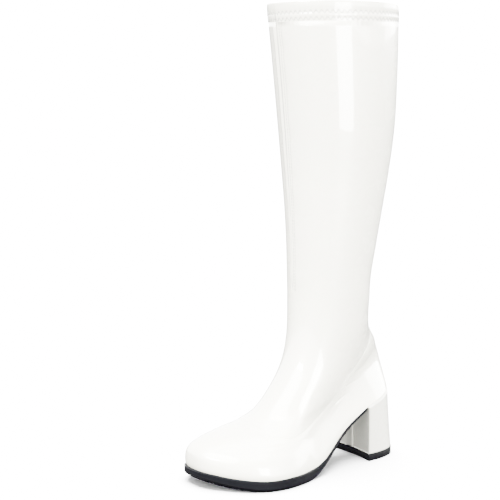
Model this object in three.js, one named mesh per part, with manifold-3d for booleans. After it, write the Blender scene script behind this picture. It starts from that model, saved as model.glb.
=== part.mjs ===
// Left knee-high go go boot with a block heel, standing on its sole. Millimetres, +Z up.
// +X points to the toe and +Y to the wearer's left, the outer side of this left boot.
// The origin is the centre of the top lift's underside, on the floor.
import * as THREE from 'three';
import { mergeVertices } from 'three/addons/utils/BufferGeometryUtils.js';
import Module from 'manifold-3d';

const wasm = await Module();
wasm.setup();

// Foot
const footLength = 226;        // back of the heel seat to the tip of the toe, level
const ballWidth = 91;          // sole edge to sole edge across the ball
const seatHeight = 70;         // floor to the upper's edge at the back of the heel
const ankleHeight = 168;       // floor to the narrowest part of the leg
const toeSwing = 18;           // how far the toe turns to the inner side
const swingStart = 0.45;       // share of the foot length where it begins to turn
const swingPower = 1.5;

// Leg
const bootHeight = 460;        // floor to the collar
const calfDepth = 130;         // front to back at the collar, along the oval
const calfWidth = 109;
const legCentre = 45.5;        // the leg's middle at the collar, ahead of the heel's middle
const shaftTurn = THREE.MathUtils.degToRad(-25);

// Leather
const wall = 1.8;
const footOverlap = 0.7;       // the foot's pieces stand this proud of the leg piece
const hemDepth = 19;
const hemStep = 0.6;
const zipFlapStep = 0.9;
const zipFlapAngle = 185;      // degrees round from the back by the outer side
const zipFlapFade = 26;
const zipEndRow = 10.2;

// Heel
const heelBack = -21;          // back of the heel seat
const breastAtSeat = 21.5;
const seatWidth = 52;
const heelBaseBack = -22;
const heelBaseFront = 22;
const heelBaseWidth = 58;
const heelRoundness = 2.6;      // power of the D's rounded back at the base
const seatRoundness = 2.2;
const liftThickness = 6;
const liftEdge = 0.5;
const seatInset = 1.9;
const heelFlarePower = 1.5;
const breastHollowTop = 1;
const breastHollowBase = 3;

// Sole
const soleEdge = 1.4;          // the outsole stands this proud of the upper
const waistThickness = 2.4;
const soleTread = 9;           // thickness under the ball
const insoleThickness = 2.4;
const waistEdge = 0.5;
const bevelStart = 0.465;      // shares of the foot length where the sole thickens under the ball
const bevelEnd = 0.585;
const meetGap = 0.3;

// Grid
const aroundSteps = 52;
const rowsBelowSeam = 11;
const rowsAboveSeam = 21;

const named = (columns, rows) => rows.map((row) => Object.fromEntries(columns.map((key, i) => [key, row[i]])));

// Height of the upper's lower edge along the foot: shares of the foot length and of the seat height
const PROFILE = named(['along', 'height'], [
  [0.00, 1.000],
  [0.095, 0.900],
  [0.19, 0.800],
  [0.25, 0.700],
  [0.31, 0.590],
  [0.37, 0.465],
  [0.42, 0.345],
  [0.47, 0.225],
  [0.52, 0.155],
  [0.58, 0.130],
  [0.70, 0.126],
  [0.84, 0.130],
  [0.93, 0.160],
  [1.00, 0.200],
]);

// Outline of the foot: half widths as shares of the ball width, before the ends are rounded
const OUTLINE = named(['along', 'outer', 'inner'], [
  [0.00, 0.430, 0.440],
  [0.09, 0.400, 0.410],
  [0.19, 0.360, 0.355],
  [0.31, 0.335, 0.300],
  [0.43, 0.395, 0.295],
  [0.53, 0.455, 0.335],
  [0.63, 0.560, 0.385],
  [0.73, 0.655, 0.420],
  [0.82, 0.690, 0.455],
  [0.90, 0.640, 0.470],
  [0.96, 0.560, 0.460],
  [1.00, 0.520, 0.440],
]);

// Side of the outsole from its top edge down: shares of its thickness and of how far it stands out
const SOLE_SIDE = named(['depth', 'out'], [
  [0.00, 0.3],
  [0.12, 1.0],
  [0.75, 1.0],
  [1.00, 0.2],
]);

// Rings round the foot, from the sole's edge up to the ankle. back and front are shares of the foot length,
// backZ and frontZ of the rise from the sole's edge to the ankle, outer, inner and the shifts of the ball
// width. foot is how much of the foot's outline a ring keeps, drape how much of the sole's curve, and the
// powers square or point its ends.
const FOOT_RINGS = named(
  ['back', 'front', 'backZ', 'frontZ', 'outer', 'inner', 'foot', 'drape', 'frontPower', 'backPower', 'backShift',
    'frontShift'],
  [
    [0.006, 1.000, 0.000, 0.000, 1.000, 1.000, 1.00, 1.00, 0.70, 0.85, -.02, 0.000],
    [0.004, 1.010, 0.066, 0.045, 1.015, 1.030, 1.00, 1.00, 0.66, 0.95, -.04, 0.000],
    [0.004, 1.006, 0.160, 0.116, 0.960, 0.980, 1.00, 0.92, 0.69, 1.10, -.06, 0.000],
    [0.010, 0.975, 0.246, 0.162, 0.870, 0.900, 0.95, 0.78, 0.72, 1.20, -.07, 0.000],
    [0.018, 0.905, 0.331, 0.197, 0.780, 0.840, 0.85, 0.60, 0.74, 1.32, -.075, 0.010],
    [0.032, 0.815, 0.417, 0.228, 0.720, 0.790, 0.70, 0.42, 0.76, 1.40, -.07, 0.030],
    [0.049, 0.720, 0.506, 0.291, 0.710, 0.770, 0.50, 0.26, 0.78, 1.42, -.055, 0.050],
    [0.080, 0.640, 0.606, 0.433, 0.720, 0.770, 0.25, 0.14, 0.88, 1.38, -.04, 0.060],
    [0.110, 0.574, 0.712, 0.596, 0.745, 0.775, 0.08, 0.05, 0.96, 1.26, -.02, 0.045],
    [0.134, 0.537, 0.829, 0.776, 0.790, 0.800, 0.00, 0.00, 1.00, 1.10, 0.00, 0.020],
  ],
);

// Ovals up the leg. rise is a share of the height from the ankle to the collar, ahead of the foot length,
// depth of the calf's depth, width and shift of its width, and turn of the shaft's turn.
const LEG_RINGS = named(['rise', 'ahead', 'depth', 'width', 'shift', 'turn'], [
  [0.000, 0.036, 0.654, 0.715, -.005, 0.00],
  [0.080, 0.029, 0.659, 0.750, -.015, 0.03],
  [0.190, 0.016, 0.704, 0.795, -.020, 0.15],
  [0.310, 0.002, 0.761, 0.850, -.030, 0.42],
  [0.450, -.012, 0.834, 0.920, -.045, 0.75],
  [0.600, -.017, 0.900, 0.970, -.050, 0.95],
  [0.800, -.011, 0.956, 0.995, -.058, 1.00],
  [1.000, 0.000, 1.003, 1.000, -.070, 1.00],
]);

// The seam that joins the foot's pieces to the leg piece, as the ring it crosses at each angle from the back
const FOOT_SEAM = named(['angle', 'ring'], [
  [0, 8.0],
  [25, 7.1],
  [45, 6.6],
  [65, 6.1],
  [85, 5.5],
  [97, 4.4],
  [108, 3.6],
  [125, 4.0],
  [150, 5.2],
  [180, 5.7],
]);

// A smooth curve through a table's rows: each row's slope is a parabola's through it and its two neighbours
function slopes(table, place, column) {
  const last = table.length - 1;
  const rise = (i) => (table[i + 1][column] - table[i][column]) / (table[i + 1][place] - table[i][place]);
  return table.map((row, i) => {
    if (i === 0) return rise(0);
    if (i === last) return rise(last - 1);
    const before = row[place] - table[i - 1][place];
    const after = table[i + 1][place] - row[place];
    return (rise(i - 1) * after + rise(i) * before) / (before + after);
  });
}

function curve(table, place, column) {
  const slope = slopes(table, place, column);
  return (at) => {
    const last = table.length - 1;
    let i = 0;
    while (i < last - 1 && at >= table[i + 1][place]) i += 1;
    const span = table[i + 1][place] - table[i][place];
    const u = THREE.MathUtils.clamp((at - table[i][place]) / span, 0, 1);
    const bend = u * u * (3 - 2 * u);
    const start = u * (1 - u) * (1 - u) * span * slope[i];
    const end = u * u * (u - 1) * span * slope[i + 1];
    return table[i][column] * (1 - bend) + table[i + 1][column] * bend + start + end;
  };
}

const profileShare = curve(PROFILE, 'along', 'height');
const outerShare = curve(OUTLINE, 'along', 'outer');
const innerShare = curve(OUTLINE, 'along', 'inner');
const seamRing = curve(FOOT_SEAM, 'angle', 'ring');

// The lower edge's height at a share of the foot's length, and its drop below a straight line
const edgeHeight = (along) => profileShare(along) * seatHeight;
const edgeSag = (along) => edgeHeight(along) - THREE.MathUtils.lerp(edgeHeight(0), edgeHeight(1), along);

// All rings in one list of millimetres and shares
const footRings = FOOT_RINGS.map((ring) => ({
  back: heelBack + ring.back * footLength,
  front: heelBack + ring.front * footLength,
  backZ: THREE.MathUtils.lerp(edgeHeight(0), ankleHeight, ring.backZ),
  frontZ: THREE.MathUtils.lerp(edgeHeight(1), ankleHeight, ring.frontZ),
  outer: ring.outer * ballWidth,
  inner: ring.inner * ballWidth,
  foot: ring.foot,
  drape: ring.drape,
  frontPower: ring.frontPower,
  backPower: ring.backPower,
  backShift: ring.backShift * ballWidth,
  frontShift: ring.frontShift * ballWidth,
  turn: 0,
}));
const legRings = LEG_RINGS.map((ring) => {
  const middle = legCentre + ring.ahead * footLength;
  const height = ankleHeight + ring.rise * (bootHeight - ankleHeight);
  return {
    back: middle - (ring.depth * calfDepth) / 2,
    front: middle + (ring.depth * calfDepth) / 2,
    backZ: height,
    frontZ: height,
    outer: ring.width * calfWidth,
    inner: ring.width * calfWidth,
    foot: 0,
    drape: 0,
    frontPower: 1,
    backPower: 1,
    backShift: ring.shift * calfWidth,
    frontShift: ring.shift * calfWidth,
    turn: ring.turn * shaftTurn,
  };
});
const RINGS = [...footRings, ...legRings].map((ring, place) => ({ place, ...ring }));
const collarRing = RINGS.length - 1;
const ringCurves = Object.keys(RINGS[0]).filter((key) => key !== 'place')
  .map((key) => [key, curve(RINGS, 'place', key)]);
const ringAt = (place) => Object.fromEntries(ringCurves.map(([key, value]) => [key, value(place)]));

const swing = (along) => -toeSwing * Math.max(0, (along - swingStart) / (1 - swingStart)) ** swingPower;

// A point of the outer form. angle goes round from the back by the outer side, in degrees; place is the ring.
// The half width is a power of the angle's sine times the ring's width, with the foot's outline in its share.
function formPoint(angle, place) {
  const ring = ringAt(place);
  const round = THREE.MathUtils.degToRad(angle);
  const along = (1 - Math.cos(round)) / 2;
  const side = Math.sin(round);
  const full = side >= 0 ? ring.outer : ring.inner;
  const shift = THREE.MathUtils.lerp(ring.backShift, ring.frontShift, along) + ring.foot * swing(along);
  const z = THREE.MathUtils.lerp(ring.backZ, ring.frontZ, along) + ring.drape * edgeSag(along);
  if (place >= FOOT_RINGS.length) {
    const turned = round + ring.turn;
    const ahead = (-(ring.front - ring.back) / 2) * Math.cos(turned);
    const across = (full / 2) * Math.sin(turned);
    const x = (ring.back + ring.front) / 2 + Math.cos(ring.turn) * ahead - Math.sin(ring.turn) * across;
    return new THREE.Vector3(x, Math.sin(ring.turn) * ahead + Math.cos(ring.turn) * across + shift, z);
  }
  const share = side >= 0 ? outerShare(along) : innerShare(along);
  const ends = THREE.MathUtils.lerp(ring.backPower, ring.frontPower, along * along * (3 - 2 * along));
  const half = Math.abs(side) ** ends * full * (ring.foot * share + (1 - ring.foot) * 0.5);
  return new THREE.Vector3(THREE.MathUtils.lerp(ring.back, ring.front, along), Math.sign(side) * half + shift, z);
}

// The form's outward direction, from two short steps along its grid
function formNormal(angle, place) {
  const turn = 1.5;
  const climb = 0.05;
  const low = Math.max(0, place - climb);
  const high = Math.min(collarRing, place + climb);
  const around = formPoint(angle - turn, place).sub(formPoint(angle + turn, place));
  const up = formPoint(angle, high).sub(formPoint(angle, low));
  return around.cross(up).normalize();
}

const offsetPoint = (angle, place, distance) => formPoint(angle, place)
  .addScaledVector(formNormal(angle, place), distance);

// Angles of the grid's columns, two of them close together at the zip flap's edge
const columnStep = 360 / aroundSteps;
const evenAngles = Array.from({ length: aroundSteps }, (_, i) => (i + 0.5) * columnStep);
const flapEdge = 0.3;
const upperAngles = [...evenAngles, zipFlapAngle - flapEdge, zipFlapAngle + flapEdge].sort((a, b) => a - b);

const mirrored = (angle) => Math.min(angle, 360 - angle);

// How far the zip's flap stands out: sharp at its edge, fading away to the front and down at the ankle
function flapRise(angle, place) {
  const inward = zipFlapAngle - angle;
  if (inward < 0 || inward > zipFlapFade || place < zipEndRow) return 0;
  const fade = 1 - inward / zipFlapFade;
  const start = Math.min(1, place - zipEndRow);
  return zipFlapStep * fade * fade * start;
}

const solids = new THREE.Group();

function addMesh(name, geometry, look) {
  geometry.computeVertexNormals();
  const mesh = new THREE.Mesh(geometry, new THREE.MeshStandardMaterial(look));
  mesh.name = name;
  solids.add(mesh);
}

// Closed body from its corners and triangles, turned so that its faces point out
function closedBody(corners, triangles) {
  let volume = 0;
  const [a, b, c] = [new THREE.Vector3(), new THREE.Vector3(), new THREE.Vector3()];
  for (const [i, j, k] of triangles) {
    a.copy(corners[i]);
    b.copy(corners[j]);
    c.copy(corners[k]);
    volume += a.dot(b.cross(c));
  }
  const outward = volume > 0 ? triangles : triangles.map(([i, j, k]) => [i, k, j]);
  const geometry = new THREE.BufferGeometry().setFromPoints(corners);
  geometry.setIndex(outward.flat());
  return geometry;
}

// Triangles between neighbouring loops of equal length
function band(loopCount, length, closed) {
  const triangles = [];
  const pairs = closed ? loopCount : loopCount - 1;
  for (let i = 0; i < pairs; i += 1) {
    const next = (i + 1) % loopCount;
    for (let j = 0; j < length; j += 1) {
      const a = i * length + j;
      const b = i * length + ((j + 1) % length);
      const c = next * length + ((j + 1) % length);
      const d = next * length + j;
      triangles.push([a, b, c], [a, c, d]);
    }
  }
  return triangles;
}

// Triangles across a loop, in strips that join each point to its partner on the other side
function strips(start, length, flip) {
  const triangles = [];
  for (let j = 0; j < length / 2 - 1; j += 1) {
    const [a, b] = [start + j, start + j + 1];
    const [c, d] = [start + length - 2 - j, start + length - 1 - j];
    triangles.push([a, b, c], [a, c, d]);
  }
  return flip ? triangles.map(([i, j, k]) => [i, k, j]) : triangles;
}

// A slab between a top and a bottom loop, with any loops between them
function slab(loops) {
  const length = loops[0].length;
  const lastStart = (loops.length - 1) * length;
  const triangles = [...strips(0, length, true), ...band(loops.length, length, false),
    ...strips(lastStart, length, false)];
  return closedBody(loops.flat(), triangles);
}

// A column of loops with flat ends
function column(loops) {
  const length = loops[0].length;
  const lastStart = (loops.length - 1) * length;
  const plan = loops[0].map((point) => new THREE.Vector2(point.x, point.y));
  const clockwise = ([a, b, c]) => THREE.ShapeUtils.isClockWise([plan[a], plan[b], plan[c]]);
  const flat = THREE.ShapeUtils.triangulateShape(plan, [])
    .map(([a, b, c]) => (clockwise([a, b, c]) ? [a, b, c] : [a, c, b]));
  const ends = flat.flatMap(([a, b, c]) => [[a, c, b], [lastStart + a, lastStart + b, lastStart + c]]);
  return closedBody(loops.flat(), [...ends, ...band(loops.length, length, false)]);
}

const toManifold = (geometry) => new wasm.Manifold(new wasm.Mesh({
  numProp: 3,
  vertProperties: new Float32Array(geometry.attributes.position.array),
  triVerts: new Uint32Array(geometry.index.array),
}));

function fromManifold(manifold) {
  const mesh = manifold.getMesh();
  const geometry = new THREE.BufferGeometry();
  geometry.setAttribute('position', new THREE.BufferAttribute(mesh.vertProperties, 3));
  geometry.setIndex(new THREE.BufferAttribute(mesh.triVerts, 1));
  return geometry;
}

// Upper: one hollow wall, open at the collar and over the sole
function makeUpper() {
  const hemRing = collarRing - hemDepth / ((LEG_RINGS.at(-1).rise - LEG_RINGS.at(-2).rise)
    * (bootHeight - ankleHeight));
  const rows = [];
  for (let i = 0; i <= rowsBelowSeam; i += 1) {
    rows.push((angle) => [seamRing(mirrored(angle)) * (i / rowsBelowSeam), footOverlap]);
  }
  for (let i = 0; i <= rowsAboveSeam; i += 1) {
    const share = i / rowsAboveSeam;
    rows.push((angle) => {
      const place = THREE.MathUtils.lerp(seamRing(mirrored(angle)), hemRing, share);
      return [place, flapRise(angle, place)];
    });
  }
  rows.push((angle) => [hemRing, hemStep + flapRise(angle, hemRing)]);
  rows.push((angle) => [collarRing, hemStep + flapRise(angle, collarRing)]);
  const outside = rows.map((row) => upperAngles.map((angle) => offsetPoint(angle, ...row(angle))));
  const innerRows = rows.filter((row, i) => i !== rowsBelowSeam + 1 && i !== rows.length - 2);
  const inside = innerRows.map((row) => upperAngles.map((angle) => offsetPoint(angle, row(angle)[0], -wall)));
  inside[0].forEach((point, i) => {
    point.z = Math.max(point.z, outside[0][i].z);
  });
  const loops = [...outside, ...inside.reverse()];
  const body = closedBody(loops.flat(), band(loops.length, upperAngles.length, true));
  addMesh('upper', body, { color: 0xf4f4f0, roughness: 0.12, metalness: 0 });
}

// A point of the foot's outline, moved out or in across its edge
function edgePoint(angle, distance, z) {
  const turn = 2;
  const along = formPoint(angle + turn, 0).sub(formPoint(angle - turn, 0));
  const out = new THREE.Vector3(-along.y, along.x, 0).normalize();
  const point = formPoint(angle, 0).addScaledVector(out, distance);
  point.z = z(point.x);
  return point;
}

const alongFoot = (x) => THREE.MathUtils.clamp((x - heelBack) / footLength, 0, 1);
const edgeAt = (x) => edgeHeight(alongFoot(x));

// Insole: fills the upper's lower opening, inside its wall
function makeInsole() {
  const inset = wall + meetGap;
  const topTaper = 0.6;
  const loop = (inward, lift) => evenAngles.map((angle) => edgePoint(angle, -inward, (x) => edgeAt(x) + lift));
  const body = slab([loop(inset + topTaper, insoleThickness), loop(inset, 0)]);
  addMesh('insole', body, { color: 0xd9d2c4, roughness: 0.8, metalness: 0 });
}

// How far the waist has become forepart: 0 behind the bevel under the ball, 1 ahead of it
const bevelShare = (x) => THREE.MathUtils.clamp((alongFoot(x) - bevelStart) / (bevelEnd - bevelStart), 0, 1);

// Underside of the sole: thin under the waist, down to the floor under the ball, up again at the toe
function soleUnderside(x) {
  const thin = edgeAt(x) - waistThickness;
  const tread = Math.max(0, edgeAt(x) - soleTread);
  return THREE.MathUtils.lerp(thin, tread, 1 - (1 - bevelShare(x)) ** 2);
}

// Outsole: from the heel's breast to the toe, with a rounded side
function makeOutsole() {
  const start = breastAtSeat + meetGap;
  const startAngle = THREE.MathUtils.radToDeg(Math.acos(1 - 2 * alongFoot(start)));
  const leastStep = 1;
  const half = [startAngle, ...evenAngles.filter((angle) => angle > startAngle + leastStep && angle < 180)];
  const angles = [...half, ...half.map((angle) => 360 - angle).reverse()];
  const proud = (x) => THREE.MathUtils.lerp(waistEdge, soleEdge, bevelShare(x));
  const level = (depth) => (x) => THREE.MathUtils.lerp(edgeAt(x) - meetGap, soleUnderside(x), depth);
  const loops = SOLE_SIDE.map(({ depth, out }) => angles.map((angle) => {
    const spot = formPoint(angle, 0).x;
    const point = edgePoint(angle, out * proud(spot), level(depth));
    point.x = Math.max(point.x, start);
    return point;
  }));
  addMesh('outsole', slab(loops), { color: 0x1c1d20, roughness: 0.35, metalness: 0 });
}

// D shaped loop of the heel at one height: round at the back, with a slightly hollow breast
function heelLoop({ back, front, width, hollow, roundness }, z) {
  const steps = 11;
  const breastSteps = 5;
  const power = 2 / roundness;
  const side = [];
  for (let i = 0; i <= steps; i += 1) {
    const turn = (Math.PI / 2) * (i / steps);
    const x = back + (front - back) * (1 - Math.cos(turn) ** power);
    side.push(new THREE.Vector3(x, (width / 2) * Math.sin(turn) ** power, z));
  }
  const breast = [];
  for (let i = 1; i < breastSteps; i += 1) {
    const across = 1 - (2 * i) / breastSteps;
    breast.push(new THREE.Vector3(front - hollow * (1 - across * across), (across * width) / 2, z));
  }
  const other = side.slice(1).reverse().map((point) => new THREE.Vector3(point.x, -point.y, z));
  return [...side, ...breast, ...other];
}

const heelTop = {
  back: heelBack + seatInset,
  front: breastAtSeat,
  width: seatWidth,
  hollow: breastHollowTop,
  roundness: seatRoundness,
};
const heelBase = {
  back: heelBaseBack,
  front: heelBaseFront,
  width: heelBaseWidth,
  hollow: breastHollowBase,
  roundness: heelRoundness,
};
const heelSection = (flare) => Object.fromEntries(Object.keys(heelTop)
  .map((key) => [key, THREE.MathUtils.lerp(heelTop[key], heelBase[key], flare)]));

// All that lies above the heel seat, to cut the block heel with
function aboveSeat(height) {
  const stations = 8;
  const margin = 20;
  const seat = (x) => edgeAt(x) - meetGap;
  const side = new THREE.Shape();
  side.moveTo(heelBack - margin, seat(heelBack));
  for (let i = 0; i <= stations; i += 1) {
    const x = THREE.MathUtils.lerp(heelBack, heelBaseFront, i / stations);
    side.lineTo(x, seat(x));
  }
  side.lineTo(heelBaseFront + margin, seat(heelBaseFront));
  side.lineTo(heelBaseFront + margin, height + margin);
  side.lineTo(heelBack - margin, height + margin);
  const cutter = new THREE.ExtrudeGeometry(side, { depth: 2 * ballWidth, bevelEnabled: false });
  cutter.rotateX(Math.PI / 2);
  cutter.translate(0, ballWidth, 0);
  cutter.deleteAttribute('normal');
  cutter.deleteAttribute('uv');
  return mergeVertices(cutter);
}

// Block heel, flared to its base and cut off under the heel seat
function makeHeel() {
  const levels = 6;
  const base = liftThickness + meetGap;
  const spare = 10;
  const above = seatHeight + spare;
  const loops = [];
  for (let i = 0; i <= levels; i += 1) {
    const rise = i / levels;
    loops.push(heelLoop(heelSection((1 - rise) ** heelFlarePower), THREE.MathUtils.lerp(base, above, rise)));
  }
  const block = toManifold(column(loops)).subtract(toManifold(aboveSeat(above)));
  addMesh('heel_block', fromManifold(block), { color: 0xf2f2ee, roughness: 0.15, metalness: 0 });
}

// Top lift: the heel's black wearing piece, a little proud of the block
function makeTopLift() {
  const rim = {
    back: heelBaseBack - liftEdge,
    front: heelBaseFront + liftEdge,
    width: heelBaseWidth + 2 * liftEdge,
    hollow: breastHollowBase,
    roundness: heelRoundness,
  };
  const loops = [heelLoop(rim, 0), heelLoop(rim, liftThickness)];
  addMesh('top_lift', column(loops), { color: 0x17181a, roughness: 0.5, metalness: 0 });
}

makeUpper();
makeInsole();
makeOutsole();
makeHeel();
makeTopLift();

export default solids;
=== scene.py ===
import bmesh
import bpy
import numpy as np
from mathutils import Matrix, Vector


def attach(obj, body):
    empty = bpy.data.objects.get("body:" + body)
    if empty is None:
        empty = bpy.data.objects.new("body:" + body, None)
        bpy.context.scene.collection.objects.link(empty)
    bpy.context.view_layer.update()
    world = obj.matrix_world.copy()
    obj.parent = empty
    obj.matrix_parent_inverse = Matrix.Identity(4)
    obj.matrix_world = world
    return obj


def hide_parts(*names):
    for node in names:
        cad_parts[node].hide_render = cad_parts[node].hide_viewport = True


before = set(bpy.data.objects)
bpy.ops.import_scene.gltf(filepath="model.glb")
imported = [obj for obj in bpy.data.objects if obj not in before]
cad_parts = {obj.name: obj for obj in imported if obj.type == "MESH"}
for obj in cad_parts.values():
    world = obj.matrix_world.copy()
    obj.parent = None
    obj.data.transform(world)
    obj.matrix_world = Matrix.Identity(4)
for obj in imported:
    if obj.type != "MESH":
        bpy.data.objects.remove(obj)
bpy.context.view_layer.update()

# A left knee-high boot in white patent, in metres. +X is the toe, +Y the wearer's left, +Z up.
# The shapes are worked out in millimetres and turned to metres as a mesh is made.
MM = 0.001

# Sizes of the boot: lengths in mm, angles in degrees round from the back, rings by their number in the form.
# The seat's width and roundness, the hem's rise and the lift's height follow the photo a little closer than
# those of the solids.
FOOT_LENGTH = 226
BALL_WIDTH = 91
SEAT_HEIGHT = 70
ANKLE_HEIGHT = 168
BOOT_HEIGHT = 460
CALF_DEPTH = 130
CALF_WIDTH = 109
LEG_CENTRE = 45.5
SHAFT_TURN = -25
TOE_SWING = 18
SWING_START = 0.45
SWING_POWER = 1.5
WALL = 1.8
FOOT_OVERLAP = 0.7
HEM_DEPTH = 19
HEM_RISE = 0.18
HEM_STITCH_ROWS = (10, 16)
HEM_STITCHES = 75
ZIP_FLAP_STEP = 0.9
ZIP_FLAP_ANGLE = 185
ZIP_FLAP_FADE = 26
ZIP_END_RING = 10.2
ZIP_MM_PER_DEGREE = 0.95
FLAP_STITCH_ROWS = (2.6, 5.4)
FLAP_STITCH = 3.1
COUNTER_MM_PER_DEGREE = 0.42
HEEL_BACK = -21
BREAST_AT_SEAT = 21.5
SEAT_WIDTH = 57
HEEL_BASE_BACK = -22
HEEL_BASE_FRONT = 22
HEEL_BASE_WIDTH = 58
HEEL_ROUNDNESS = 2.6
LIFT_THICKNESS = 7.4
LIFT_EDGE = 0.5
SEAT_INSET = 1.9
SEAT_ROUNDNESS = 2.05
HEEL_FLARE_POWER = 1.5
BREAST_HOLLOW_TOP = 1
BREAST_HOLLOW_BASE = 3
HEEL_LAP = 1.1
INSOLE_THICKNESS = 2.4
BEVEL_START = 0.465
BEVEL_END = 0.585
MEET_GAP = 0.3


def table(columns, rows):
    """Named columns of a short table, as arrays."""
    return dict(zip(columns.split(), np.array(rows, float).T))


# Height of the upper's lower edge as a share of the seat's, by the share of the foot's length
PROFILE = table("along height", [
    (0.00, 1.000), (0.095, 0.900), (0.19, 0.800), (0.25, 0.700), (0.31, 0.590), (0.37, 0.465), (0.42, 0.345),
    (0.47, 0.225), (0.52, 0.155), (0.58, 0.130), (0.70, 0.126), (0.84, 0.130), (0.93, 0.160), (1.00, 0.200)])
# Fullness of the foot's outline on either side: a point's half width is this share of its ring's width times
# a power of the angle's sine
OUTLINE = table("along outer inner", [
    (0.00, 0.430, 0.440), (0.09, 0.400, 0.410), (0.19, 0.360, 0.355), (0.31, 0.335, 0.300),
    (0.43, 0.395, 0.295), (0.53, 0.455, 0.335), (0.63, 0.560, 0.385), (0.73, 0.655, 0.420),
    (0.82, 0.690, 0.455), (0.90, 0.640, 0.470), (0.96, 0.560, 0.460), (1.00, 0.520, 0.440)])
# Outsole as seen in the photo, by the share of the foot's length: how far its side stands out of the upper's
# lower edge, and how thick it is at the waist and in the tread
SOLE_WELT = table("along out thick tread", [
    (0.00, 1.4, 1.8, 9.0), (0.20, 1.6, 2.4, 9.0), (0.42, 2.0, 4.4, 9.0), (0.60, 2.2, 5.0, 9.0),
    (0.80, 2.6, 5.0, 9.0), (0.93, 3.9, 5.0, 8.0), (1.00, 4.4, 5.0, 6.8)])
# Outline of its side: the share of that distance, by the share of the way down
SOLE_SIDE = table("depth out", [(0.00, 0.75), (0.06, 1.0), (0.75, 1.0), (1.00, 0.3)])
# Lip of the outsole, which stands up outside the upper's lower edge, by the share of the foot's length
SOLE_LIP = table("along rise", [(0.00, 0.3), (0.30, 0.5), (0.45, 1.4), (0.60, 2.0), (1.00, 2.2)])
# Rings of the foot from the sole's edge up: where each begins and ends by the foot's length, how high by the
# rise to the ankle, its widths by the ball's, how far it keeps the foot's outline and the sole's slope, the
# powers that shape its ends, and how far they lie to a side
FOOT_RINGS = table(
    "back front back_z front_z outer inner foot drape front_power back_power back_shift front_shift", [
        (0.006, 1.000, 0.000, 0.000, 1.000, 1.000, 1.00, 1.00, 0.70, 0.85, -.02, 0.000),
        (0.004, 1.010, 0.066, 0.045, 1.015, 1.030, 1.00, 1.00, 0.66, 0.95, -.04, 0.000),
        (0.004, 1.006, 0.160, 0.116, 0.960, 0.980, 1.00, 0.92, 0.69, 1.10, -.06, 0.000),
        (0.010, 0.975, 0.246, 0.162, 0.870, 0.900, 0.95, 0.78, 0.72, 1.20, -.07, 0.000),
        (0.018, 0.905, 0.331, 0.197, 0.780, 0.840, 0.85, 0.60, 0.74, 1.32, -.075, 0.010),
        (0.032, 0.815, 0.417, 0.228, 0.720, 0.790, 0.70, 0.42, 0.76, 1.40, -.07, 0.030),
        (0.049, 0.720, 0.506, 0.291, 0.710, 0.770, 0.50, 0.26, 0.78, 1.42, -.055, 0.050),
        (0.080, 0.640, 0.606, 0.433, 0.720, 0.770, 0.25, 0.14, 0.88, 1.38, -.04, 0.060),
        (0.110, 0.574, 0.712, 0.596, 0.745, 0.775, 0.08, 0.05, 0.96, 1.26, -.02, 0.045),
        (0.134, 0.537, 0.829, 0.776, 0.790, 0.800, 0.00, 0.00, 1.00, 1.10, 0.00, 0.020)])
# Rings of the leg from the ankle up: how high by the leg's length, how far ahead of its middle by the foot's
# length, the depth, width and side shift by the calf's, and the share of the shaft's turn
LEG_RINGS = table("rise ahead depth width shift turn", [
    (0.000, 0.036, 0.654, 0.715, -.005, 0.00), (0.080, 0.029, 0.659, 0.750, -.015, 0.03),
    (0.190, 0.016, 0.704, 0.795, -.020, 0.15), (0.310, 0.002, 0.761, 0.850, -.030, 0.42),
    (0.450, -.012, 0.834, 0.920, -.045, 0.75), (0.600, -.017, 0.900, 0.970, -.050, 0.95),
    (0.800, -.011, 0.956, 0.995, -.058, 1.00), (1.000, 0.000, 1.003, 1.000, -.070, 1.00)])
# Seam between the foot's pieces and the leg piece, by the angle from the back
FOOT_SEAM = table("angle ring", [
    (0, 8.0), (25, 7.1), (45, 6.6), (65, 6.1), (85, 5.5), (97, 4.4), (108, 3.6), (125, 4.0), (150, 5.2),
    (180, 5.7)])


def smooth(places, values, at):
    """Smooth curve through a table: a cubic between two rows, whose slope at a row is that of a parabola
    through it and its neighbours."""
    slope = np.gradient(values, places)
    slope[0] = (values[1] - values[0]) / (places[1] - places[0])
    slope[-1] = (values[-1] - values[-2]) / (places[-1] - places[-2])
    i = np.clip(np.searchsorted(places, at, side="right") - 1, 0, len(places) - 2)
    span = places[i + 1] - places[i]
    u = np.clip((at - places[i]) / span, 0, 1)
    bend = u * u * (3 - 2 * u)
    ends = u * (1 - u) ** 2 * span * slope[i] + u * u * (u - 1) * span * slope[i + 1]
    return values[i] * (1 - bend) + values[i + 1] * bend + ends


def edge_height(along):
    """Height of the upper's lower edge at a share of the foot's length."""
    return smooth(PROFILE["along"], PROFILE["height"], np.asarray(along, float)) * SEAT_HEIGHT


def mix(a, b, share):
    """Straight line from a to b."""
    return a + (b - a) * share


def ease(share):
    """Soft step from 0 to 1."""
    share = np.clip(share, 0, 1)
    return share * share * (3 - 2 * share)


def bump(distance, width):
    """Bell of height 1, that falls to about a third at its width."""
    return np.exp(-(distance / width) ** 2)


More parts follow.
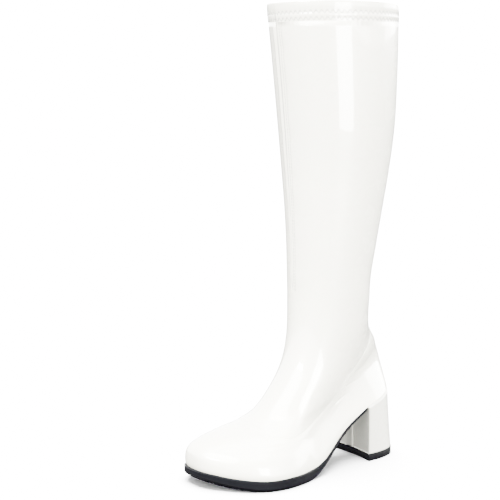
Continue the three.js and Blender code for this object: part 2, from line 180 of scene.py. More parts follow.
def all_rings():
    """The rings of foot and leg in one table of millimetres, angles and shares."""
    f, g = FOOT_RINGS, LEG_RINGS
    low, toe_low = edge_height(0.0), edge_height(1.0)
    none, one = np.zeros(len(g["rise"])), np.ones(len(g["rise"]))
    middle = LEG_CENTRE + g["ahead"] * FOOT_LENGTH
    height = ANKLE_HEIGHT + g["rise"] * (BOOT_HEIGHT - ANKLE_HEIGHT)
    half = g["depth"] * CALF_DEPTH / 2
    width, shift = g["width"] * CALF_WIDTH, g["shift"] * CALF_WIDTH
    return {
        "back": np.append(HEEL_BACK + f["back"] * FOOT_LENGTH, middle - half),
        "front": np.append(HEEL_BACK + f["front"] * FOOT_LENGTH, middle + half),
        "back_z": np.append(mix(low, ANKLE_HEIGHT, f["back_z"]), height),
        "front_z": np.append(mix(toe_low, ANKLE_HEIGHT, f["front_z"]), height),
        "outer": np.append(f["outer"] * BALL_WIDTH, width),
        "inner": np.append(f["inner"] * BALL_WIDTH, width),
        "foot": np.append(f["foot"], none),
        "drape": np.append(f["drape"], none),
        "front_power": np.append(f["front_power"], one),
        "back_power": np.append(f["back_power"], one),
        "back_shift": np.append(f["back_shift"] * BALL_WIDTH, shift),
        "front_shift": np.append(f["front_shift"] * BALL_WIDTH, shift),
        "turn": np.append(0 * f["back"], g["turn"] * np.radians(SHAFT_TURN)),
    }


# The worn collar stands a little over the solid's and is saddle shaped: highest at this angle and its
# opposite, lower between them, with a round corner that sinks behind the outer side
COLLAR_RISE = 3.2
COLLAR_HIGH_ANGLE = 126
COLLAR_DIP = 3.0
CORNER_ANGLE = 32
CORNER_DIP = 4.5
CORNER_WIDTH = 17

RINGS = all_rings()
RING_PLACES = np.arange(len(RINGS["back"]), dtype=float)
ANKLE_RING = len(FOOT_RINGS["back"])
COLLAR_RING = RING_PLACES[-1]
TOP_RING_SPAN = LEG_RINGS["rise"][-1] - LEG_RINGS["rise"][-2]
HEM_RING = COLLAR_RING - HEM_DEPTH / (TOP_RING_SPAN * (BOOT_HEIGHT - ANKLE_HEIGHT))


def form(angle, place):
    """Outer form of the boot in mm. angle runs round from the back by the outer side in degrees, place up the
    rings. Below the ankle a point's half width is a power of the angle's sine times the ring's width in the
    share of the foot's outline; above it the rings are turned ovals."""
    angle, place = np.broadcast_arrays(np.asarray(angle, float), np.asarray(place, float))
    r = {key: smooth(RING_PLACES, values, place) for key, values in RINGS.items()}
    turn = np.radians(angle)
    along, side = (1 - np.cos(turn)) / 2, np.sin(turn)
    outer_side = side >= -1e-12
    full = np.where(outer_side, r["outer"], r["inner"])
    swing = -TOE_SWING * np.clip((along - SWING_START) / (1 - SWING_START), 0, None) ** SWING_POWER
    shift = mix(r["back_shift"], r["front_shift"], along) + r["foot"] * swing
    sag = edge_height(along) - mix(edge_height(0.0), edge_height(1.0), along)
    z = mix(r["back_z"], r["front_z"], along) + r["drape"] * sag
    share = np.where(outer_side, smooth(OUTLINE["along"], OUTLINE["outer"], along),
                     smooth(OUTLINE["along"], OUTLINE["inner"], along))
    ends = mix(r["back_power"], r["front_power"], ease(along))
    half = np.abs(side) ** ends * full * (r["foot"] * share + (1 - r["foot"]) * 0.5)
    x_foot, y_foot = mix(r["back"], r["front"], along), np.sign(side) * half + shift
    oval = turn + r["turn"]
    ahead, across = -(r["front"] - r["back"]) / 2 * np.cos(oval), full / 2 * np.sin(oval)
    x_leg = (r["back"] + r["front"]) / 2 + np.cos(r["turn"]) * ahead - np.sin(r["turn"]) * across
    y_leg = np.sin(r["turn"]) * ahead + np.cos(r["turn"]) * across + shift
    leg = place >= ANKLE_RING
    saddle = COLLAR_RISE - COLLAR_DIP / 2 * (1 - np.cos(2 * (turn - np.radians(COLLAR_HIGH_ANGLE))))
    corner = CORNER_DIP * bump(np.degrees(turn) - CORNER_ANGLE, CORNER_WIDTH)
    z = z + saddle * ease(place - COLLAR_RING + 1) - corner * ease((place - COLLAR_RING) * 3 + 1)
    return np.stack([np.where(leg, x_leg, x_foot), np.where(leg, y_leg, y_foot), z], -1)


def form_normal(angle, place):
    """Outward direction of the form, from two short steps along its grid."""
    around = form(angle - 1.5, place) - form(angle + 1.5, place)
    up = form(angle, np.minimum(place + 0.05, COLLAR_RING)) - form(angle, np.maximum(place - 0.05, 0))
    across = np.cross(around, up)
    return across / np.maximum(np.linalg.norm(across, axis=-1, keepdims=True), 1e-9)


def on_form(angle, place, distance):
    """Point of the form, moved out by a distance."""
    angle, place, distance = np.broadcast_arrays(angle, place, distance)
    return form(angle, place) + form_normal(angle, place) * distance[..., None]


def seam_ring(angle):
    """Ring of the seam between the foot's pieces and the leg piece, alike on both sides."""
    return smooth(FOOT_SEAM["angle"], FOOT_SEAM["ring"], np.minimum(angle % 360, 360 - angle % 360))


def ring_below_rim(distance):
    """Ring at a distance in mm below the collar's rim."""
    return COLLAR_RING - distance / HEM_DEPTH * (COLLAR_RING - HEM_RING)


def sheet_mesh(name, points, material, close_rows=False, close_columns=True):
    """Mesh of a grid of points in mm, rows by columns. Either way round can be closed."""
    rows, columns = points.shape[:2]
    number = np.arange(rows * columns).reshape(rows, columns)
    if close_rows:
        number = np.vstack([number, number[:1]])
    if close_columns:
        number = np.hstack([number, number[:, :1]])
    faces = np.stack([number[:-1, :-1], number[:-1, 1:], number[1:, 1:], number[1:, :-1]], -1).reshape(-1, 4)
    mesh = bpy.data.meshes.new(name)
    mesh.from_pydata((points.reshape(-1, 3) * MM).tolist(), [], faces.tolist())
    return finish_piece(name, mesh, material)


def finish_piece(name, mesh, material):
    """Puts a mesh into the scene as a smooth piece of the boot, with its faces turned out."""
    work = bmesh.new()
    work.from_mesh(mesh)
    bmesh.ops.remove_doubles(work, verts=work.verts, dist=1e-6)
    bmesh.ops.recalc_face_normals(work, faces=work.faces)
    work.to_mesh(mesh)
    work.free()
    mesh.polygons.foreach_set("use_smooth", [True] * len(mesh.polygons))
    mesh.materials.append(material)
    piece = bpy.data.objects.new(name, mesh)
    bpy.context.scene.collection.objects.link(piece)
    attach(piece, "root")
    return piece


# Materials

def linear(code):
    """sRGB hex code to linear red, green, blue and an alpha of one."""
    value = np.array([int(code[i:i + 2], 16) for i in (0, 2, 4)]) / 255
    value = np.where(value <= 0.04045, value / 12.92, ((value + 0.055) / 1.055) ** 2.4)
    return (*value.tolist(), 1.0)


def add(tree, kind, settings=(), inputs=(), links=()):
    """Adds a node: its properties, its input values, and links from other nodes' outputs."""
    node = tree.nodes.new(kind)
    for key, value in dict(settings).items():
        setattr(node, key, value)
    for key, value in dict(inputs).items():
        node.inputs[key].default_value = value
    for key, output in dict(links).items():
        tree.links.new(output, node.inputs[key])
    return node


def new_material(name, **values):
    """Material with one Principled shader, and its tree and shader."""
    material = bpy.data.materials.new(name)
    material.use_nodes = True
    shader = material.node_tree.nodes["Principled BSDF"]
    for key, value in values.items():
        shader.inputs[key.replace("_", " ")].default_value = value
    return material, material.node_tree, shader


def noise(tree, where, size_mm, detail=2.0):
    """Noise whose patches are about size_mm across."""
    return add(tree, "ShaderNodeTexNoise", inputs={"Scale": 1 / (size_mm * MM), "Detail": detail},
               links={"Vector": where}).outputs["Fac"]


def patent_leather(name, body, shade, wave_mm=0.05):
    """Patent: a white base fabric under a thick poured polyurethane film. The film gives a sharp clear coat
    over a softer sheen, with a faint orange peel of 1.5 mm and slow waves of 22 mm from the cloth below."""
    material, tree, shader = new_material(name, IOR=1.5, Coat_Weight=1, Coat_Roughness=0.035, Coat_IOR=1.5)
    where = add(tree, "ShaderNodeTexCoord").outputs["Object"]
    tone = add(tree, "ShaderNodeMix", {"data_type": "RGBA"}, {"A": linear(body), "B": linear(shade)},
               {"Factor": noise(tree, where, 60)})
    tree.links.new(tone.outputs["Result"], shader.inputs["Base Color"])
    rough = add(tree, "ShaderNodeMapRange", inputs={"To Min": 0.2, "To Max": 0.34},
                links={"Value": noise(tree, where, 14)})
    tree.links.new(rough.outputs["Result"], shader.inputs["Roughness"])
    slow = add(tree, "ShaderNodeBump", inputs={"Strength": 1.0, "Distance": wave_mm * MM},
               links={"Height": noise(tree, where, 22, 1.0)})
    peel = add(tree, "ShaderNodeBump", inputs={"Strength": 0.5, "Distance": 0.008 * MM},
               links={"Height": noise(tree, where, 1.5), "Normal": slow.outputs["Normal"]})
    tree.links.new(peel.outputs["Normal"], shader.inputs["Normal"])
    tree.links.new(slow.outputs["Normal"], shader.inputs["Coat Normal"])
    return material


def black_rubber(name, colour, rough_low, rough_high):
    """Moulded rubber: near black, satin, with a fine pebbled skin of 0.7 mm and dull patches of 9 mm."""
    material, tree, shader = new_material(name, Base_Color=linear(colour), IOR=1.4, Specular_IOR_Level=0.05)
    where = add(tree, "ShaderNodeTexCoord").outputs["Object"]
    rough = add(tree, "ShaderNodeMapRange", inputs={"To Min": rough_low, "To Max": rough_high},
                links={"Value": noise(tree, where, 9)})
    tree.links.new(rough.outputs["Result"], shader.inputs["Roughness"])
    skin = add(tree, "ShaderNodeBump", inputs={"Strength": 0.4, "Distance": 0.04 * MM},
               links={"Height": noise(tree, where, 0.7)})
    tree.links.new(skin.outputs["Normal"], shader.inputs["Normal"])
    return material


# Blender's wave texture repeats every pi / 10 metres at a scale of one
WAVE_LENGTH = np.pi / 10
RIB_SPACING = 2.37


def ribbed_cloth(name, colour):
    """Soft matt cloth, as the tricot lining and the zip's tape. Its ribs are drawn 2.4 mm apart, coarser than
    real, so that they show."""
    material, tree, shader = new_material(name, Base_Color=linear(colour), Roughness=0.9, Sheen_Weight=0.3)
    where = add(tree, "ShaderNodeTexCoord").outputs["Object"]
    ribs = add(tree, "ShaderNodeTexWave", {"bands_direction": "Z"},
               {"Scale": WAVE_LENGTH / (RIB_SPACING * MM), "Distortion": 1.5}, {"Vector": where})
    relief = add(tree, "ShaderNodeBump", inputs={"Strength": 0.5, "Distance": 0.15 * MM},
                 links={"Height": ribs.outputs["Fac"]})
    tree.links.new(relief.outputs["Normal"], shader.inputs["Normal"])
    return material


def twisted_thread(name, colour):
    """Spun polyester thread: satin, greyer than the patent, with a twist of 0.6 mm. Its grey is painted
    shade: white thread darkened for the shadows of its needle holes and the channels it lies in.
    """
    material, tree, shader = new_material(name, Base_Color=linear(colour), Roughness=0.5, Sheen_Weight=0.2)
    where = add(tree, "ShaderNodeTexCoord").outputs["Object"]
    twist = add(tree, "ShaderNodeBump", inputs={"Strength": 0.6, "Distance": 0.05 * MM},
                links={"Height": noise(tree, where, 0.6)})
    tree.links.new(twist.outputs["Normal"], shader.inputs["Normal"])
    return material


PATENT = patent_leather("White coated patent", "e6e4d4", "e1dfcf")
HEEL_PATENT = patent_leather("White coated patent on the heel", "e2e1d3", "dddcce", wave_mm=0.02)
SOLE_RUBBER = black_rubber("Black moulded rubber sole", "060608", 0.42, 0.58)
LIFT_RUBBER = black_rubber("Black rubber top lift", "040405", 0.5, 0.65)
LINING = ribbed_cloth("Pale tricot lining", "e9e6dd")
SOCK = ribbed_cloth("Pale sock lining", "d9d2c4")
# The zip's tape is a real piece, but its grey cloth also carries painted shade: it darkens the line along the
# flap's edge, where shadow falls.
TAPE_WITH_PAINTED_SHADE = ribbed_cloth("Polyester zip tape with painted shade", "a3a19a")
# The white thread is given a grey colour as painted shade of its needle holes and the channels it lies in.
THREAD_WITH_PAINTED_SHADE = twisted_thread("White polyester thread with painted shade", "989892")


# Upper

# Soft creases of the foot: where each lies by angle and ring, how far it runs in degrees, its half width in
# rings, how it leans, and its height in mm
CREASES = (
    (68, 4.4, 9, 0.16, 0.055, -0.5),
    (74, 3.7, 8, 0.14, 0.050, -0.45),
    (60, 5.2, 9, 0.18, 0.045, -0.5),
    (132, 3.3, 20, 0.13, 0.006, -0.28),
    (150, 2.8, 22, 0.15, 0.004, -0.22),
    (292, 4.2, 11, 0.17, -0.05, -0.6),
    (300, 5.0, 10, 0.18, -0.05, -0.45),
)


def foot_relief(angle, place):
    """Creases and seams of the foot's pieces in mm: a groove with raised sides down the back of the counter,
    an edge pared thin along the lap, and soft troughs and ridges across the vamp and the outer quarter."""
    from_back = ((angle + 180) % 360 - 180) * COUNTER_MM_PER_DEGREE
    back_seam = -0.45 * bump(from_back, 0.5) + 0.25 * bump(np.abs(from_back) - 1.7, 0.9)
    skive = -0.6 * bump(seam_ring(angle) - place, 0.32)
    out = back_seam * ease((place - 0.3) / 0.5) + skive
    for at_angle, at_place, long, short, lean, height in CREASES:
        a = (angle - at_angle + 180) % 360 - 180
        p = place - at_place - lean * a
        out = out + height * bump(a, long) * (bump(p, short) - 0.6 * bump(p - 1.6 * short, short))
    return out


def flap_rise(angle, place):
    """The zip's flap in mm: sharp at its edge, fading to the front and down at the ankle."""
    inward = ZIP_FLAP_ANGLE - angle
    fade = np.clip(1 - inward / ZIP_FLAP_FADE, 0, 1)
    start = np.clip(place - ZIP_END_RING, 0, 1)
    return np.where(inward < 0, 0, ZIP_FLAP_STEP * fade * fade * start)


def zip_valley(angle, depth_share):
    """Flat valley beside the flap's edge in mm, where the zip's tape lies."""
    beyond = (angle - ZIP_FLAP_ANGLE) * ZIP_MM_PER_DEGREE
    return -0.55 * ease(beyond / 0.4) * ease((4.2 - beyond) / 0.8) * depth_share


# Heights in mm of the leg piece's puckers, roll of leather, sewn channels, ankle folds and slow waves
PUCKERS = 0.2
ROLL = 1.1
CHANNELS = 0.32
ANKLE_FOLDS = 0.22
SLOW_WAVES = 0.25


def leg_relief(angle, place, height):
    """Folds of the leg piece in mm: long soft bends of the stretch patent at the ankle, puckers beside the
    zip where its tape holds the leather short, a roll of leather beyond the tape, and the sewn channels along
    the flap."""
    turn = np.radians(angle)
    above = place - ANKLE_RING
    from_zip = (angle - ZIP_FLAP_ANGLE) * ZIP_MM_PER_DEGREE
    zone = ease((place - ZIP_END_RING) / 0.6)
    waves = (np.sin(height / 6.1 + 0.9 * np.sin(height / 23)) + 0.6 * np.sin(height / 3.7 + 2.1)
             * np.sin(height / 41))
    puckers = PUCKERS * waves * (bump(from_zip + 7, 5) + 0.6 * bump(from_zip - 6, 4)) * zone
    roll = ROLL * bump(from_zip - 6.4, 2.5) * zone * (0.15 + 0.85 * ease((height - 230) / 110))
    channels = -CHANNELS * sum(bump(from_zip + row, 0.8) for row in FLAP_STITCH_ROWS) * zone
    ankle = ANKLE_FOLDS * bump(above - 0.2, 1.3)
    folds = ankle * np.sin(height / 9.0 + 1.5 * np.cos(turn)) * (0.5 + 0.5 * np.cos(turn - 0.6))
    slow = SLOW_WAVES * np.sin(height / 47 + 2 * turn) * np.sin(turn * 3 + 0.7) * ease(above / 2)
    return puckers + roll + channels + folds + slow + zip_valley(angle, zone)


# Columns and rows of the two large sheets
FOOT_COLUMNS = 480
FOOT_ROWS = 118
LEG_COLUMNS = 370
LEG_ROWS = 158


def make_foot():
    """Toe, sides and counter: rows from the sole's edge up to the lapped seam, over its rounded lip and back
    down inside."""
    angle = np.linspace(0, 360, FOOT_COLUMNS, endpoint=False)
    seam = seam_ring(angle)
    place = seam * np.linspace(0, 1, FOOT_ROWS)[:, None]
    outside = on_form(angle, place, FOOT_OVERLAP + foot_relief(angle, place))
    tuck = outside[:1] + [0, 0, -0.28]
    lip_place = seam + np.array([0.02, 0.035, 0.035])[:, None]
    lip = on_form(angle, lip_place, np.array([0.06, -0.04, -0.3])[:, None])
    inside = on_form(angle, seam * np.linspace(1, 0, 14)[:, None], -WALL / 2)
    inside[..., 2] = np.maximum(inside[..., 2], outside[:1, :, 2] - 0.2)
    points = np.concatenate([tuck, outside, lip, inside])
    return sheet_mesh("foot_pieces", points, PATENT, close_rows=True)


def hem_height(below):
    """Section of the folded hem in mm by the distance below its rim: it is full between its stitch rows."""
    puff = 0.25 * (bump(below - 5, 3) + bump(below - 12.9, 1.5))
    stitched = -0.15 * sum(bump(below - row, 1.6) for row in HEM_STITCH_ROWS)
    return HEM_RISE * ease((HEM_DEPTH - below) / 4) + puff + stitched


# Extra columns of the leg piece beside the flap's edge in degrees, and rows of the hem in mm below the rim
ZIP_COLUMNS = np.array([-7, -6.3, -5.6, -5, -4.2, -3.4, -2.8, -2.2, -1.4, -0.6, -0.2, 0, 0.15, 0.4, 0.8, 1.5,
                        2.2, 2.8, 3.4, 3.9, 4.4, 5.2, 6.2, 7.2])
HEM_ROWS = np.array([18.9, 18.2, 17, 16, 15, 14, 12.9, 11.6, 10.8, 10, 9.2, 8, 6.5, 5, 3.2, 1.8, 0.9])


def make_leg():
    """Leg piece: rows from under the foot's pieces up to the hem, over the hem's step and its round rim and
    down inside."""
    even = np.linspace(0, 360, LEG_COLUMNS, endpoint=False)
    angle = np.unique(np.concatenate([even, ZIP_FLAP_ANGLE + ZIP_COLUMNS]))
    seam = seam_ring(angle)
    share = np.concatenate([np.linspace(0, 0.04, 18), np.linspace(0.04, 1, LEG_ROWS)[1:]])[:, None]
    place = mix(seam - 0.16, HEM_RING, share)
    height = form(angle, place)[..., 2]
    tucked = ease((place - seam + 0.1) / 0.12)
    groove = -0.4 * bump(place - seam - 0.05, 0.035)
    rise = tucked * (flap_rise(angle, place) + leg_relief(angle, place, height) + groove)
    leg = on_form(angle, place, rise)
    below = HEM_ROWS[:, None]
    hem_place = ring_below_rim(below)
    gathers = 0.1 * np.sin(np.radians(angle) * HEM_STITCHES) * bump(below - 13, 5)
    hem_rise = hem_height(below) + gathers + flap_rise(angle, hem_place)
    hem_rise = hem_rise + zip_valley(angle, ease((below - 7) / 3))
    hem = on_form(angle, hem_place, hem_rise)
    rim_turn = np.radians(np.array([30, 60, 90, 120, 150]))[:, None]
    outer_rim = hem_height(HEM_ROWS[-1]) + flap_rise(angle, COLLAR_RING)
    middle, half = (outer_rim - WALL) / 2, (outer_rim + WALL) / 2
    rim = on_form(angle, COLLAR_RING, middle + half * np.cos(rim_turn))
    rim[..., 2] += HEM_ROWS[-1] * (np.sin(rim_turn) - 1)
    inner_place = mix(COLLAR_RING - 0.02, seam - 0.1, np.linspace(0, 1, 24)[:, None])
    inside = on_form(angle, inner_place, -WALL * 0.55)
    inside[0] = on_form(angle, COLLAR_RING - 0.02, -WALL)
    points = np.concatenate([leg, hem, rim, inside])
    return sheet_mesh("leg_piece", points, PATENT, close_rows=True)


def make_lining():
    """Lining: a thin closed sheet on the inside of the wall, from the hem's fold down to the insole."""
    angle = np.linspace(0, 360, 200, endpoint=False)
    place = np.linspace(0.25, COLLAR_RING - 0.35, 110)[:, None]
    inner = on_form(angle, place, -WALL)
    outer = on_form(angle, place[::-1], -WALL * 0.65)
    return sheet_mesh("shaft_lining", np.concatenate([inner, outer]), LINING, close_rows=True)


def tube(path, radius, closed=False):
    """Six sided section carried along a path in mm, with its rings square to the path."""
    if closed:
        ahead = np.roll(path, -1, axis=0) - np.roll(path, 1, axis=0)
    else:
        ahead = np.gradient(path, axis=0)
    ahead = ahead / np.linalg.norm(ahead, axis=1, keepdims=True)
    side = np.cross(ahead, np.array([0.13, 0.21, 0.97]))
    side = side / np.linalg.norm(side, axis=1, keepdims=True)
    up = np.cross(side, ahead)
    turn = np.linspace(0, 2 * np.pi, 6, endpoint=False)[:, None]
    rings = path[:, None] + radius * (np.cos(turn) * side[:, None] + np.sin(turn) * up[:, None])
    if closed:
        return rings
    first, last = path[:1, None] + 0 * rings[:1], path[-1:, None] + 0 * rings[:1]
    return np.concatenate([first, rings, last])


def make_hem_stitches():
    """Two rows of zigzag stitching round the hem, 5 mm from peak to peak and 3.4 mm high, drawn as thread
    0.56 mm thick that stands half out of the leather."""
    pieces = []
    steps = HEM_STITCHES * 8
    t = np.arange(steps) / steps
    angle = t * 360
    peak = 2 * np.abs(2 * ((t * HEM_STITCHES) % 1) - 1) - 1
    for number, centre in enumerate(HEM_STITCH_ROWS, 1):
        below = centre + 1.7 * peak
        place = ring_below_rim(below)
        path = on_form(angle, place, hem_height(below) + flap_rise(angle, place) + 0.12)
        thread = tube(path, 0.28, closed=True)
        pieces.append(sheet_mesh(f"hem_stitch_row_{number}", thread, THREAD_WITH_PAINTED_SHADE, close_rows=True))
    return pieces


def make_flap_stitches():
    """Two rows of straight stitches beside the flap's edge, each stitch 3.1 mm long with its ends sunk."""
    pieces = []
    place = np.linspace(ZIP_END_RING + 0.35, HEM_RING - 0.05, 900)
    for number, inward in enumerate(FLAP_STITCH_ROWS, 1):
        angle = ZIP_FLAP_ANGLE - inward / ZIP_MM_PER_DEGREE
        line = form(angle, place)
        run = np.append(0, np.cumsum(np.linalg.norm(np.diff(line, axis=0), axis=1)))
        sink = 0.6 * np.abs(np.cos(np.pi * run / FLAP_STITCH)) ** 8
        rise = flap_rise(angle, place) + leg_relief(angle, place, line[..., 2]) + 0.14 - sink
        thread = tube(on_form(angle, place, rise), 0.24)
        pieces.append(sheet_mesh(f"flap_stitch_row_{number}", thread, THREAD_WITH_PAINTED_SHADE))
    return pieces


# Section of the zip's tape in mm: how far beyond the flap's edge, and how high over the form
ZIP_TAPE = table("across height", [
    (0.3, -0.38), (1.1, -0.33), (1.9, -0.30), (2.7, -0.33), (3.5, -0.38),
    (3.5, -0.75), (2.7, -0.75), (1.9, -0.75), (1.1, -0.75), (0.3, -0.75)])


def make_zip_tape():
    """Zip's tape in the valley beside the flap: its flat section carried up the leg into the hem. Its grey is
    partly the tape's own colour and partly painted shade, which darkens the gap under the flap's edge.
    """
    place = np.linspace(ZIP_END_RING + 0.45, ring_below_rim(9.5), 500)
    below = (COLLAR_RING - place) / (COLLAR_RING - HEM_RING) * HEM_DEPTH
    ground = np.where(place > HEM_RING, hem_height(below), 0)
    across = ZIP_TAPE["across"][:, None] / ZIP_MM_PER_DEGREE
    strip = on_form(ZIP_FLAP_ANGLE + across, place, ZIP_TAPE["height"][:, None] + ground)
    strip[:, [0, -1]] = strip[:, [0, -1]].mean(axis=0)
    return sheet_mesh("zip_tape_with_painted_shade", strip, TAPE_WITH_PAINTED_SHADE, close_rows=True, close_columns=False)


# Sole, insole and heel

def along_foot(x):
    """Share of the foot's length at x."""
    return np.clip((x - HEEL_BACK) / FOOT_LENGTH, 0, 1)


def edge_at(x):
    """Height of the upper's lower edge at x."""
    return edge_height(along_foot(x))


def edge_point(angle, distance):
    """Point of the foot's outline, moved out across its edge."""
    ahead = form(angle + 2, 0.0) - form(angle - 2, 0.0)
    out = np.stack([-ahead[..., 1], ahead[..., 0]], -1)
    out = out / np.linalg.norm(out, axis=-1, keepdims=True)
    return form(angle, 0.0)[..., :2] + out * np.asarray(distance)[..., None]


def across_loops(loop, count, z_of):
    """Loops from an edge loop inward to the line between its two sides."""
    partner = loop[::-1]
    share = np.linspace(0, 1, count)[:, None, None]
    flat = mix(loop[None, :, :2], (loop[None, :, :2] + partner[None, :, :2]) / 2, share)
    return np.concatenate([flat, z_of(flat[..., :1])], -1)


def bevel_share(x):
    """How far the bevel has come from the waist to the tread at x."""
    return np.clip((along_foot(x) - BEVEL_START) / (BEVEL_END - BEVEL_START), 0, 1)


def sole_underside(x):
    """Underside of the sole: thin under the waist, down to the floor under the ball, up at the toe."""
    waist, tread = (edge_at(x) - smooth(SOLE_WELT["along"], SOLE_WELT[key], along_foot(x))
                    for key in ("thick", "tread"))
    return mix(waist, np.maximum(0, tread), 1 - (1 - bevel_share(x)) ** 2)


def make_outsole():
    """Outsole: its side's profile carried round the outline, from the lip outside the upper down to the
    underside, and closed to the middle above and below."""
    start = BREAST_AT_SEAT + MEET_GAP
    first = np.degrees(np.arccos(1 - 2 * along_foot(start)))
    half = mix(first, 179.6, np.linspace(0, 1, 170))
    angle = np.concatenate([half, 360 - half[::-1]])
    spot = form(angle, 0.0)[:, 0]
    proud = smooth(SOLE_WELT["along"], SOLE_WELT["out"], along_foot(spot))
    loops = []
    for depth in np.append(0, np.linspace(0, 1, 19)):
        # The first loop is the lip's inner edge, which lies close to the upper
        out = np.interp(depth, SOLE_SIDE["depth"], SOLE_SIDE["out"]) if loops else 0.1
        flat = edge_point(angle, out * proud)
        flat[:, 0] = np.maximum(flat[:, 0], start)
        share = along_foot(flat[:, 0])
        lip = edge_at(flat[:, 0]) + smooth(SOLE_LIP["along"], SOLE_LIP["rise"], share)
        z = mix(lip, sole_underside(flat[:, 0]), depth)
        loops.append(np.column_stack([flat, z]))
    top = across_loops(loops[0], 9, lambda x: edge_at(x) - MEET_GAP)[::-1]
    bottom = across_loops(loops[-1], 9, sole_underside)
    points = np.concatenate([top, np.array(loops)[:-1], bottom])
    return sheet_mesh("outsole_moulding", points, SOLE_RUBBER)


def make_insole():
    """Insole with its sock lining: a thin pad inside the wall that follows the sole's slope."""
    half = np.linspace(0.4, 179.6, 150)
    angle = np.concatenate([half, 360 - half[::-1]])
    inset = WALL + MEET_GAP
    low = edge_point(angle, -inset)
    high = edge_point(angle, -(inset + 0.6))
    low = np.column_stack([low, edge_at(low[:, 0])])
    high = np.column_stack([high, edge_at(high[:, 0]) + INSOLE_THICKNESS])
    top = across_loops(high, 9, lambda x: edge_at(x) + INSOLE_THICKNESS)[::-1]
    bottom = across_loops(low, 9, edge_at)
    return sheet_mesh("sock_lining", np.concatenate([top, bottom]), SOCK)


# Where the heel cover's edge needs finer columns, as shares of half the breast's width
BREAST_LAP_STEPS = np.array([-0.02, -0.012, -0.006, 0.0, 0.004, 0.010, 0.018])


def heel_plan(flare):
    """D shaped plan at a share of the flare: a superellipse round the back and a slightly hollow breast. The
    third list is the place across the breast, which is 0 on the sides."""
    side_steps = 60
    top = (HEEL_BACK + SEAT_INSET, BREAST_AT_SEAT, SEAT_WIDTH, BREAST_HOLLOW_TOP, SEAT_ROUNDNESS)
    base = (HEEL_BASE_BACK, HEEL_BASE_FRONT, HEEL_BASE_WIDTH, BREAST_HOLLOW_BASE, HEEL_ROUNDNESS)
    back, front, width, hollow, roundness = (mix(a, b, flare) for a, b in zip(top, base))
    power = 2 / roundness
    turn = np.linspace(0, np.pi / 2, side_steps)
    x = back + (front - back) * (1 - np.clip(np.cos(turn), 0, 1) ** power)
    y = width / 2 * np.sin(turn) ** power
    across = np.unique(np.concatenate([np.linspace(-1, 1, 44)[1:-1], BREAST_LAP_STEPS]))[::-1]
    breast_x = front - hollow * (1 - across ** 2)
    breast_y = across * width / 2
    xs = np.concatenate([x, breast_x, x[1:][::-1]])
    ys = np.concatenate([y, breast_y, -y[1:][::-1]])
    seam = np.zeros_like(xs)
    seam[side_steps:side_steps + len(across)] = across
    return xs, ys, seam


def make_heel():
    """Wrapped block heel: its plan carried up from the lift to the seat, whose slope it follows. The cover's
    two edges meet down the middle of the breast, where the inner one lies HEEL_LAP over the other."""
    base, above = LIFT_THICKNESS + MEET_GAP, SEAT_HEIGHT + 10
    low_x, low_y, across = heel_plan(1.0)
    top_x, top_y, _ = heel_plan(0.0)
    rise = np.linspace(0, 1, 60)[:, None]
    x = low_x + 0 * rise
    for _ in range(5):
        z = mix(base, edge_at(x) - MEET_GAP, rise)
        flare = (1 - (z - base) / (above - base)) ** HEEL_FLARE_POWER
        x, y = mix(top_x, low_x, flare), mix(top_y, low_y, flare)
    on_breast = np.abs(across) > 0
    lap = np.where(on_breast & (y < 0.1), HEEL_LAP * bump(np.minimum(y, 0), 7), 0)
    sides = np.stack([x + lap, y, z], -1)
    ends = sides[[0, -1]] * [1, 0, 1]
    return sheet_mesh("heel_cover", np.concatenate([ends[:1], sides, ends[1:]]), HEEL_PATENT)


def make_lift():
    """Top lift: the heel's plan at its base, a little proud, with edges rounded by 0.4 mm."""
    xs, ys, _ = heel_plan(1.0)
    base_depth = HEEL_BASE_FRONT - HEEL_BASE_BACK
    scale_x = (base_depth + 2 * LIFT_EDGE) / base_depth
    scale_y = (HEEL_BASE_WIDTH + 2 * LIFT_EDGE) / HEEL_BASE_WIDTH
    half_size = 25
    rounding = [(0, 0.4), (0.12, 0.12), (0.4, 0)]
    rounding += [(LIFT_THICKNESS - height, inset) for height, inset in rounding[::-1]]
    rows = []
    for height, inset in rounding:
        shrink = 1 - inset / half_size
        rows.append(np.column_stack([xs * scale_x * shrink, ys * scale_y * shrink, np.full_like(xs, height)]))
    sides = np.array(rows)
    middle = [0, 0, 1]
    points = np.concatenate([sides[:1] * middle, sides, sides[-1:] * middle])
    return sheet_mesh("rubber_top_lift", points, LIFT_RUBBER)


foot = make_foot()
leg = make_leg()
lining = make_lining()
stitches = make_hem_stitches() + make_flap_stitches()
zip_tape_with_painted_shade = make_zip_tape()
outsole = make_outsole()
insole = make_insole()
heel = make_heel()
lift = make_lift()
for piece in (foot, leg, lining):
    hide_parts("upper")
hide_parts("outsole")
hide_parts("insole")
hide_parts("heel_block")
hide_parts("top_lift")


# Studio

def flat_panel(name, corners, material):
    """A flat floor or wall from its corners in metres."""
    mesh = bpy.data.meshes.new(name)
    mesh.from_pydata(corners, [], [tuple(range(len(corners)))])
    mesh.materials.append(material)
    panel = bpy.data.objects.new(name, mesh)
    bpy.context.scene.collection.objects.link(panel)
    return panel


def set_light(name, lamp, aim, lit):
    """Puts a lamp into the studio, turned to shine along aim, whose light falls on some things only."""
    light = bpy.data.objects.new(name, lamp)
    light.rotation_euler = Vector(aim).to_track_quat("-Z", "Y").to_euler()
    bpy.context.scene.collection.objects.link(light)
    group = bpy.data.collections.new(name + "_falls_on")
    for thing in lit:
        group.objects.link(thing)
    light.light_linking.receiver_collection = group
    return light


def softbox(name, place, target, width, height, power, lit):
    """Rectangular soft light that looks at a point."""
    lamp = bpy.data.lights.new(name, "AREA")
    lamp.shape = "RECTANGLE"
    lamp.size, lamp.size_y, lamp.energy = width, height, power
    set_light(name, lamp, Vector(target) - Vector(place), lit).location = place


def broad_light(name, power, spread, aim, lit):
    """Soft light from far off, alike all over the studio."""
    lamp = bpy.data.lights.new(name, "SUN")
    lamp.energy, lamp.angle = power, np.radians(spread)
    set_light(name, lamp, aim, lit)


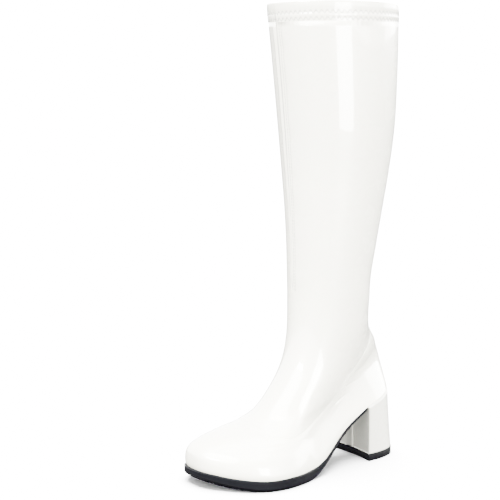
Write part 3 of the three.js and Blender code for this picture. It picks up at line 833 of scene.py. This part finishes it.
# Studio paper: seen white, while the light that it sends back up is that of a grey floor
paper, paper_tree, paper_shader = new_material("White studio paper", Roughness=0.9, Specular_IOR_Level=0.1)
paper_tone = add(paper_tree, "ShaderNodeMix", {"data_type": "RGBA"},
                 {"A": linear("282828"), "B": linear("fbfbfb")},
                 {"Factor": add(paper_tree, "ShaderNodeLightPath").outputs["Is Camera Ray"]})
paper_tree.links.new(paper_tone.outputs["Result"], paper_shader.inputs["Base Color"])
floor = flat_panel("studio_floor", [(-60, -60, 0), (60, -60, 0), (60, 60, 0), (-60, 60, 0)], paper)

# The boot's lights fall on the boot alone, and the floor has one of its own from nearly straight above, so
# that the shadow at the toe's edge stays deep. The heel has its own light from the side, so that its breast
# stays in shade
upper_and_sole = [foot, leg, lining, zip_tape_with_painted_shade, outsole, insole, lift, *stitches]
boot = [*upper_and_sole, heel]
softbox("front_strip_softbox", (0.55, 1.73, 0.38), (0.05, 0.0, 0.34), 0.75, 0.6, 120, upper_and_sole)
softbox("low_toe_softbox", (1.9, 0.40, 0.80), (0.17, 0, 0.03), 0.7, 0.14, 60, upper_and_sole)
broad_light("broad_top_light", 13, 65, (-0.12, -0.17, -1), boot)
broad_light("broad_toe_light", 20, 45, (-0.74, -0.16, -0.64), upper_and_sole)
broad_light("broad_back_light", 16, 45, (0.95, -0.22, -0.22), boot)
broad_light("broad_side_light", 6, 40, (0.08, -1.0, -0.04), upper_and_sole)
broad_light("heel_side_light", 12, 30, (-0.05, -0.94, -0.33), [heel])
broad_light("floor_light", 54, 56, (0.06, 0.06, -1), [floor])

# The room: dim where it lights the boot, brighter where it mirrors in it, white where it is seen behind it
world = bpy.data.worlds.new("Pale studio")
world.use_nodes = True
room = world.node_tree
background = room.nodes["Background"]
background.inputs["Color"].default_value = linear("f7f8f8")
ray = add(room, "ShaderNodeLightPath").outputs
seen = add(room, "ShaderNodeMapRange", inputs={"To Min": 2.8, "To Max": 26.0},
           links={"Value": ray["Is Camera Ray"]})
mirrored = add(room, "ShaderNodeMath", {"operation": "MULTIPLY_ADD"}, {1: 14.0},
               {0: ray["Is Glossy Ray"], 2: seen.outputs["Result"]})
room.links.new(mirrored.outputs["Value"], background.inputs["Strength"])
bpy.context.scene.world = world

# Camera at the photo's angle: it stands 54 degrees round from the toe to the outer side of what it looks at,
# tipped 9.6 degrees down
camera_data = bpy.data.cameras.new("studio_camera")
camera_data.sensor_width = 36
camera_data.lens = 100.9
camera_data.clip_end = 100
camera = bpy.data.objects.new("studio_camera", camera_data)
bpy.context.scene.collection.objects.link(camera)
tip = np.radians(9.607)
look = Vector((-0.586 * np.cos(tip), -0.810 * np.cos(tip), -np.sin(tip)))
camera.location = (0.9257, 1.0710, 0.4513)
camera.rotation_euler = look.to_track_quat("-Z", "Y").to_euler()
bpy.context.scene.camera = camera
